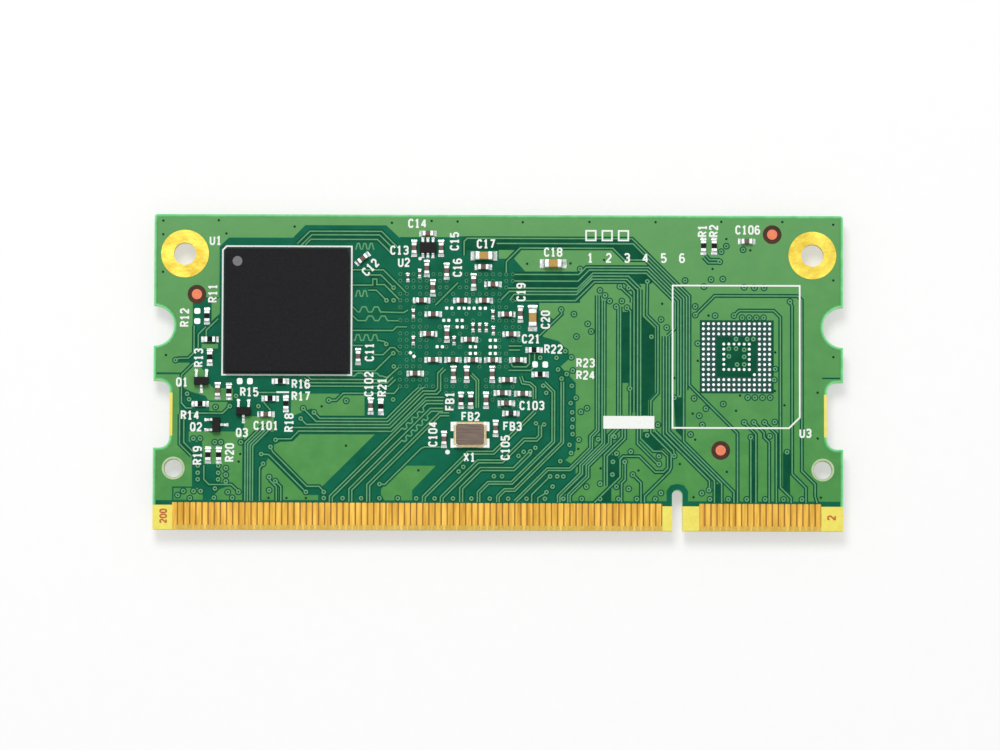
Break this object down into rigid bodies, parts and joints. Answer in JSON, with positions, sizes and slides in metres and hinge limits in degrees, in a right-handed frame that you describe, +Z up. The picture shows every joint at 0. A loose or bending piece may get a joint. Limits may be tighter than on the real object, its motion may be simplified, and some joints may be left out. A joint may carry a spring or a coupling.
{
  "type": "compute module card",
  "caption": "Flat compute module card: green laminate board with a keyed gold contact edge, side notches, screw holes, a memory chip, a crystal and small chip parts.",
  "frame": {"origin": "middle of the card's outline, at the level of the lowest face, which is the face of the processor under the board", "axes": "+X along the contact edge, towards the end with the key slot; +Y from the contact edge to the far edge; +Z up out of the face that carries the memory chip"},
  "size_m": [0.0676, 0.031, 0.0032],
  "materials": {
    "solder_mask": "green lacquer over laminate, semi-gloss",
    "gold_plate": "gold flash over nickel, satin",
    "bare_copper": "bare copper, satin",
    "tinned_land": "tinned copper, satin",
    "package_moulding": "black moulding compound, fine matt",
    "package_laminate": "dark green package laminate",
    "solder": "bright solder",
    "crystal_ceramic": "cream ceramic",
    "seal_metal": "gilt seal ring",
    "lid_metal": "grey metal lid, satin",
    "lead_metal": "tinned lead frame",
    "end_metal": "tinned end caps",
    "brown_ceramic": "brown capacitor ceramic",
    "tan_ceramic": "tan capacitor ceramic",
    "alumina": "white alumina",
    "black_glass": "black glass coat",
    "ferrite": "dark ferrite",
    "core_compound": "pressed metal-powder core, matt grey"
  },
  "bodies": {
    "root": {"circuit_board": "solder_mask", "screw_hole_plating": "gold_plate", "edge_contacts_upper": "gold_plate", "edge_contacts_lower": "gold_plate", "sighting_marks": "bare_copper", "vacant_grid_lands": "tinned_land", "vacant_chip_pads": "tinned_land", "memory_moulding": "package_moulding", "memory_laminate": "package_laminate", "memory_balls": "solder", "crystal_base": "crystal_ceramic", "crystal_seal_ring": "seal_metal", "crystal_lid": "lid_metal", "crystal_terminals": "solder", "transistor_bodies": "package_moulding", "transistor_leads": "lead_metal", "supply_chip_body": "package_moulding", "supply_chip_leads": "lead_metal", "capacitor_bodies": "brown_ceramic", "capacitor_end_caps": "end_metal", "large_capacitor_bodies": "tan_ceramic", "large_capacitor_end_caps": "end_metal", "small_capacitor_bodies": "brown_ceramic", "small_capacitor_end_caps": "end_metal", "resistor_slabs": "alumina", "resistor_coats": "black_glass", "resistor_end_caps": "end_metal", "bead_bodies": "ferrite", "bead_end_caps": "end_metal", "solder_joints_upper": "solder", "processor_moulding": "package_moulding", "processor_laminate": "package_laminate", "processor_balls": "solder", "inductor_cores": "core_compound", "inductor_terminals": "end_metal", "regulator_body": "package_moulding", "regulator_lands": "tinned_land", "lower_capacitor_bodies": "brown_ceramic", "lower_capacitor_end_caps": "end_metal", "lower_large_capacitor_bodies": "tan_ceramic", "lower_large_capacitor_end_caps": "end_metal", "lower_resistor_slabs": "alumina", "lower_resistor_coats": "black_glass", "lower_resistor_end_caps": "end_metal", "solder_joints_lower": "solder"}
  },
  "joints": []
}
